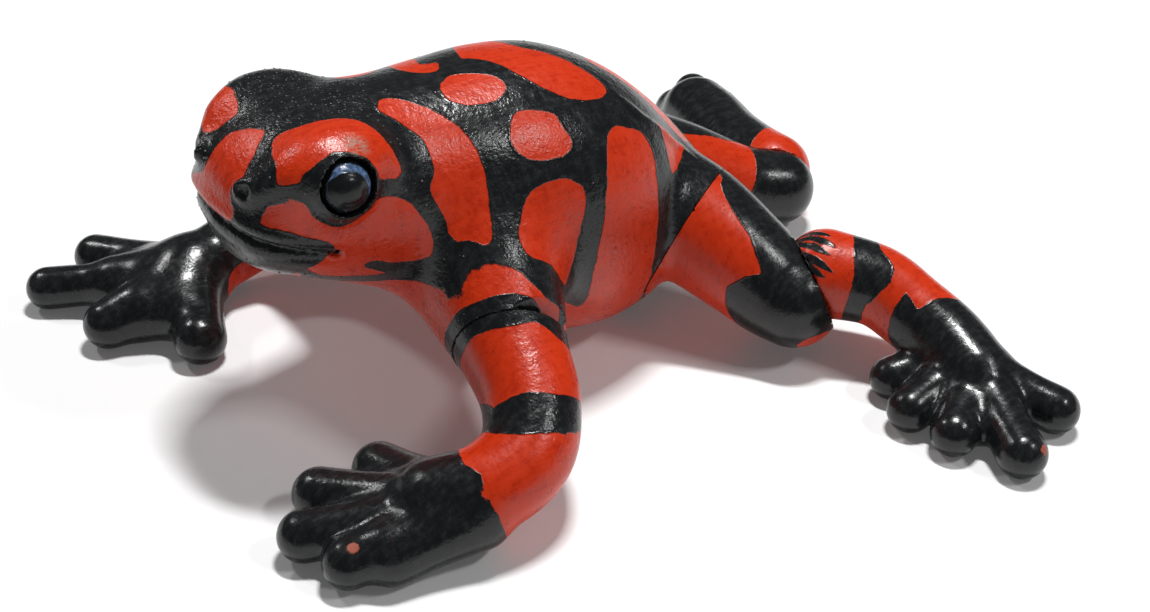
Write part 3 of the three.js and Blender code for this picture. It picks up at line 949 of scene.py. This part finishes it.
def build_pits(n, s):
    cell = n.add("ShaderNodeTexVoronoi", {"Vector": s["Where"], "Scale": 1500.0, "Randomness": 1.0})
    dot = n.ramp(cell, 0.16, 0.06)
    from_value = n.math("SUBTRACT", 0.72, n.times(s["Amount"], 0.35))
    patchy = n.ramp(n.noise(s["Where"], 420.0, 2.0), from_value, 0.8)
    dust = n.ramp(n.noise(s["Where"], 5200.0, 1.0), 0.7, 0.78)
    return n.times(dot, patchy), n.times(dust, patchy)


paint_pits = shader_group("paint_pits", {"Amount": 0.5}, ["Pit", "Dust"], build_pits)
print("groups:", ", ".join(g.name for g in bpy.data.node_groups if g.bl_idname == "ShaderNodeTree"))

# %% [markdown]
# The enamel: red vinyl, a black coat, pits, dust, the bare gate marks at the tips of a finger and a toe, and
# the scuff over the left eye where handling has worn the brow.

# %% Enamel material
SCRATCHED, THIN_COAT = (0.09, 0.012, 0.01, 1), (0.09, 0.014, 0.011, 1)
RED, DEEP_RED = (0.60, 0.034, 0.004, 1), (0.46, 0.022, 0.004, 1)
BLACK, SOFT_BLACK = (0.0075, 0.0082, 0.009, 1), (0.016, 0.018, 0.019, 1)
WORN, DUST, GATE = (0.34, 0.25, 0.19, 1), (0.30, 0.31, 0.29, 1), (0.34, 0.075, 0.04, 1)


def build_enamel(n):
    where = n.add("ShaderNodeTexCoord", output=3)
    read = {name: n.stored(name) for name in ("ink", "crown", "grain", "scuff", "gate")}
    edge = n.group(brushed_edge, {"Where": where, "Ink": read["ink"], "Wobble": 0.34})
    streaks = n.group(brush_streaks, {"Where": where})
    grain = n.group(skin_grain, {"Where": where, "Amount": read["grain"]})
    pits = n.group(paint_pits, {"Where": where, "Amount": read["crown"]})

    red = n.mix(n.ramp(streaks["Streak"], 0.30, 0.58), DEEP_RED, RED)
    scratch = n.times(streaks["Scratch"], n.times_plus(read["crown"], 0.4, 0.03))
    red = n.mix(scratch, red, SCRATCHED)
    black = n.mix(n.ramp(streaks["Streak"], 0.42, 0.66), BLACK, SOFT_BLACK)
    thin = n.ramp(n.noise(where, 700.0, 3.0, 0.6), 0.70, 0.80)
    black = n.mix(n.times(thin, 0.22), black, THIN_COAT)
    color = n.mix(edge["Mask"], red, black)
    color = n.mix(n.times(pits["Dust"], n.times(edge["Mask"], 0.8)), color, DUST)
    rubbed = n.ramp(n.noise(n.stretch(where, (0.6, 1.5, 1.8)), 2400.0, 3.0, 0.7), 0.40, 0.58)
    worn = n.times(read["scuff"], rubbed)
    color = n.mix(worn, color, WORN)
    bare = n.ramp(n.times_plus(n.noise(where, 2600.0, 2.0), 0.4, read["gate"]), 0.3, 0.1)
    color = n.mix(bare, color, GATE)

    rough = n.times_plus(edge["Mask"], -0.07, 0.27)
    rough = n.times_plus(n.ramp(streaks["Streak"], 0.4, 0.65), 0.10, rough)
    rough = n.math("MAXIMUM", rough, n.times(n.math("MAXIMUM", worn, bare), 0.6))
    height = n.plus(edge["Height"], grain["Height"])
    height = n.times_plus(streaks["Streak"], 0.008, height)
    height = n.times_plus(pits["Pit"], -0.05, height)
    return {"Base Color": color, "Roughness": rough, "Normal": n.bump(height), "Specular IOR Level": 0.42}


enamel = make_material("enamel", build_enamel)
print("enamel nodes:", len(enamel.node_tree.nodes))

# %% [markdown]
# Now the skins are wrapped, painted and hung on their bodies. Besides `ink` each point stores how crusty the
# black coat is (`crown`), the worn brow (`scuff`) and the distance to a bare gate mark (`gate`).


# %% Make the skins
SHARP_ANGLE = math.radians(52)


def make_mesh(name, points, faces, material):
    mesh = bpy.data.meshes.new(name)
    mesh.from_pydata(to_frame(points), [], faces)
    mesh.polygons.foreach_set("use_smooth", np.ones(len(faces), bool))
    mesh.set_sharp_from_angle(angle=SHARP_ANGLE)
    mesh.materials.append(material)
    mesh.update()
    return add_object(name, mesh)


def store(piece, name, values):
    layer = piece.data.attributes.new(name, "FLOAT", "POINT")
    layer.data.foreach_set("value", np.asarray(values, np.float32))


def paint(piece, name, points):
    store(piece, "ink", INK[name](points))
    crown, scuff = np.full(len(points), 0.12), np.zeros(len(points))
    if name == "trunk":
        x, angle = trunk_map(points)
        crown = np.maximum(crown, smooth_step(-11, -16, x) * smooth_step(62, 36, np.abs(angle)))
        crown = np.maximum(crown, 0.45 * smooth_step(-8, -14, x)) * smooth_step(17, 15, x)
        scuff = 0.75 * smooth_step(1.4, 0.4, np.hypot((x + 19.9) * 0.8, (angle - 47) * 0.17))
    grain = np.full(len(points), 0.4)
    if name == "trunk":
        grain = 0.9 + 0.5 * crown
    elif name == "left_arm":
        grain = 0.5 + 0.5 * smooth_step(-16, -12, points[:, 0])
    store(piece, "crown", crown)
    store(piece, "grain", grain)
    store(piece, "scuff", scuff)
    gate = np.full(len(points), 5.0)
    for place, radius in GATE_MARKS:
        gate = np.minimum(gate, lengths(points - place) - radius)
    store(piece, "gate", gate)


def whole_skin(points, seam):
    """The trunk and a limb as one field, before they are parted."""
    return melt(head_and_trunk(points), limb(seam["outer"], points), seam["melt"])


def press_to_skin(points, seam):
    """Moves points, square to the seam's axis, on to the whole skin."""
    axis, step = unit(seam["axis"]), 0.05
    value = whole_skin(points, seam)
    slope = np.stack([whole_skin(points + step * way, seam) - value for way in np.eye(3)], axis=1) / step
    slope -= (slope @ axis)[:, None] * axis
    steep = np.maximum((slope ** 2).sum(axis=1), 0.25)
    return points - np.clip(value / steep, -0.4, 0.4)[:, None] * slope


def square_up(points, name):
    """Squares the skin beside each seam to its cut, so that the swivel shows as a hairline."""
    for seam in SEAMS.values():
        if name not in (seam["inner"], seam["outer"]):
            continue
        axis = unit(seam["axis"])
        away = plane_side(points, seam, SEAM_GAP / 2 if name == seam["outer"] else -SEAM_GAP / 2)
        across = lengths(points - seam["at"] - away[:, None] * axis)
        rim = (across > seam["radius"] * 0.55) & (across < seam["radius"] + 2)
        near = np.flatnonzero((np.abs(away) < 0.4) & rim)
        if "melt" in seam and len(near):
            depth = whole_skin(points[near], seam)
            edge = near[(depth > -0.32) & (depth < 0.05)]
            points[edge] = press_to_skin(points[edge], seam)
        flat = near[np.abs(away[near]) < 0.2]
        points[flat] -= away[flat, None] * axis
    return points


skins = {}
for name, (low, high) in PIECES.items():
    points, quads = sculpt(lambda p: piece_field(name, p), low, high)
    points = square_up(points, name)
    piece = make_mesh("skin_" + name, points, quads.tolist(), enamel)
    paint(piece, name, points)
    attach(piece, name)
    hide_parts(name)
    skins[name] = piece
    print(name, len(quads), "quads")

# %% [markdown]
# Each eye is a glossy bead in its socket. The painter left the pupil black and drew a slate-blue iris line
# over its top and back.

# %% Eyes
PUPIL, SLATE, PALE_SLATE = (0.008, 0.009, 0.010, 1), (0.035, 0.065, 0.13, 1), (0.11, 0.18, 0.32, 1)
IRIS_RADIUS, PUPIL_RADIUS = 1.93, 1.42


def build_eye_gloss(n):
    where = n.add("ShaderNodeTexCoord", output=3)
    back, up = n.stored("eye_back"), n.stored("eye_up")
    reach = n.math("SQRT", n.plus(n.times(back, back), n.times(up, up)))
    wobble = n.times_plus(n.noise(where, 1500.0, 2.0), 0.3, -0.15)
    reach = n.plus(reach, wobble)
    side = n.plus(n.times(up, 0.75), n.times(back, 0.65))
    width = n.ramp(side, -0.4, 1.5, 0.0, 0.27)
    middle = n.math("ABSOLUTE", n.math("SUBTRACT", reach, IRIS_RADIUS))
    iris = n.ramp(n.math("SUBTRACT", middle, width), 0.05, -0.05)
    blotch = n.noise(where, 2300.0, 3.0, 0.6)
    color = n.mix(iris, PUPIL, n.mix(n.ramp(blotch, 0.4, 0.62), SLATE, PALE_SLATE))
    height = n.times_plus(iris, 0.03, n.times(blotch, 0.03))
    return {"Base Color": color, "Roughness": 0.24, "Normal": n.bump(height), "Specular IOR Level": 0.35}


def make_eye(name, side, material):
    rings, sides = 40, 64
    aim = unit(np.array(EYE["aim"]) * (1, side, 1))
    rear = unit(np.array([1.0, 0, 0]) - aim * aim[0])
    up = unit(np.array([0, 0, 1.0]) - aim * aim[2] - rear * rear[2])
    polar = np.linspace(0, math.pi, rings + 1)[1:-1]
    turn = np.linspace(0, 2 * math.pi, sides, endpoint=False)
    pupil_rim = np.exp(-((np.sin(polar) * EYE["radius"] - PUPIL_RADIUS) / 0.18) ** 2) * (polar < 1.5)
    reach = EYE["radius"] - 0.10 * pupil_rim
    local = [(0, 0, EYE["radius"])]
    for a, r in zip(polar, reach):
        local += [(r * math.sin(a) * math.cos(t), r * math.sin(a) * math.sin(t), r * math.cos(a))
                  for t in turn]
    local = np.array(local + [(0, 0, -EYE["radius"])])
    points = eye_centre(side) + local @ np.array([rear, up, aim])
    here, after = np.arange(sides), (np.arange(sides) + 1) % sides
    faces = [[0, 1 + a, 1 + b] for a, b in zip(here, after)]
    for ring in range(rings - 2):
        base, over = 1 + ring * sides, 1 + (ring + 1) * sides
        faces += [[base + a, over + a, over + b, base + b] for a, b in zip(here, after)]
    last, end = len(local) - 1, 1 + (rings - 2) * sides
    faces += [[last, end + b, end + a] for a, b in zip(here, after)]
    if side < 0:
        faces = [face[::-1] for face in faces]
    piece = make_mesh(name, points, faces, material)
    store(piece, "eye_back", local[:, 0])
    store(piece, "eye_up", local[:, 1])
    return piece


eye_gloss = make_material("eye_gloss", build_eye_gloss)
for name, side in (("left_eye", -1), ("right_eye", 1)):
    eye = make_eye("bead_" + name, side, eye_gloss)
    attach(eye, "trunk")
    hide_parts(name)
    print(name, "bead", len(eye.data.polygons), "faces")

# %% [markdown]
# ## Nibs in the coat
# Dust settled in the thick black on the crown of the head. Geometry Nodes scatter small hard nibs there, as
# densely as the `crown` value says, with a fixed seed; the result is made a plain mesh.


# %% Nibs
def nib_tree():
    tree = bpy.data.node_groups.new("scatter_nibs", "GeometryNodeTree")
    for key, kind in (("Geometry", "Geometry"), ("Density", "Float"), ("Seed", "Int"), ("Radius", "Float"),
                      ("Material", "Material")):
        tree.interface.new_socket(key, in_out="INPUT", socket_type="NodeSocket" + kind)
    tree.interface.new_socket("Geometry", in_out="OUTPUT", socket_type="NodeSocketGeometry")
    link = tree.links.new
    n = Nodes(tree)
    entry = tree.nodes.new("NodeGroupInput").outputs
    crown, ink = (n.add("GeometryNodeInputNamedAttribute", {"Name": key}) for key in ("crown", "ink"))
    share = n.times(n.math("POWER", crown, 2.0), n.math("GREATER_THAN", ink, 0.3))
    density = n.times(share, entry["Density"])

    scatter = tree.nodes.new("GeometryNodeDistributePointsOnFaces")
    link(entry["Geometry"], scatter.inputs["Mesh"])
    link(density, scatter.inputs["Density"])
    link(entry["Seed"], scatter.inputs["Seed"])
    nib = n.add("GeometryNodeMeshIcoSphere", {"Subdivisions": 2, "Radius": entry["Radius"]})
    size = tree.nodes.new("FunctionNodeRandomValue")
    size.data_type = "FLOAT"
    size.inputs[2].default_value, size.inputs[3].default_value = 0.45, 1.4
    link(entry["Seed"], size.inputs["Seed"])
    placed = n.add("GeometryNodeInstanceOnPoints", {
        "Points": scatter.outputs["Points"], "Rotation": scatter.outputs["Rotation"], "Instance": nib,
        "Scale": size.outputs[1]})
    real = n.add("GeometryNodeRealizeInstances", {"Geometry": placed})
    dressed = n.add("GeometryNodeSetMaterial", {"Geometry": real, "Material": entry["Material"]})
    link(dressed, tree.nodes.new("NodeGroupOutput").inputs["Geometry"])
    return tree


def make_nibs(name, skin, tree, settings):
    """Runs the tree on a copy of the skin and keeps the result as a plain mesh of its own."""
    source = skin.copy()
    bpy.context.scene.collection.objects.link(source)
    modifier = source.modifiers.new("nibs", "NODES")
    modifier.node_group = tree
    for item in tree.interface.items_tree:
        if item.in_out == "INPUT" and item.name in settings:
            modifier[item.identifier] = settings[item.name]
    bpy.context.view_layer.update()
    graph = bpy.context.evaluated_depsgraph_get()
    mesh = bpy.data.meshes.new_from_object(source.evaluated_get(graph))
    bpy.data.objects.remove(source)
    piece = add_object(name, mesh)
    return piece


nib_paint = make_material("nib_paint", lambda n: {"Base Color": (0.10, 0.10, 0.095, 1), "Roughness": 0.3})
nibs = make_nibs("crown_nibs", skins["trunk"], nib_tree(),
                 {"Density": 1.6e6, "Seed": 7, "Radius": 0.00008, "Material": nib_paint})
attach(nibs, "trunk")
print("nib faces:", len(nibs.data.polygons))

# %% [markdown]
# ## Studio
# A white floor, a long lamp overhead that lays the highlight along the flank, a strip to the right of the
# camera, and a small lamp behind.

# %% Floor and lights
floor_mesh = bpy.data.meshes.new("floor")
floor_mesh.from_pydata([(-2, -2, 0), (2, -2, 0), (2, 2, 0), (-2, 2, 0)], [], [(0, 1, 2, 3)])
floor = add_object("floor", floor_mesh)
PALE = {"Base Color": (0.9, 0.9, 0.9, 1), "Roughness": 0.9, "Specular IOR Level": 0.1,
        "Emission Color": (1, 1, 1, 1), "Emission Strength": 0.07}
floor_mesh.materials.append(make_material("pale_floor", lambda n: PALE))

world = bpy.data.worlds.new("studio")
world.use_nodes = True
SKY = {"Color": (0.95, 0.97, 1, 1), "Strength": 0.065}
Nodes(world.node_tree).fill(world.node_tree.nodes["Background"], SKY)
bpy.context.scene.world = world
bpy.context.scene.view_settings.view_transform = "Standard"


def area_light(name, direction, distance, size, power, target=(0, 0, 0.015)):
    data = bpy.data.lights.new(name, "AREA")
    data.shape = "RECTANGLE"
    data.size, data.size_y = size
    data.energy = power
    lamp = add_object(name, data)
    away = Vector(direction).normalized() * distance
    lamp.location = Vector(target) + away
    lamp.rotation_euler = (-away).to_track_quat("-Z", "Y").to_euler()


area_light("overhead", (0.20, 0.11, 0.97), 0.5, (0.10, 0.035), 2.4)
area_light("strip", (0.42, -0.52, 0.74), 0.5, (0.10, 0.03), 0.55)
area_light("back", (-0.35, 0.73, 0.75), 0.5, (0.05, 0.05), 0.35)
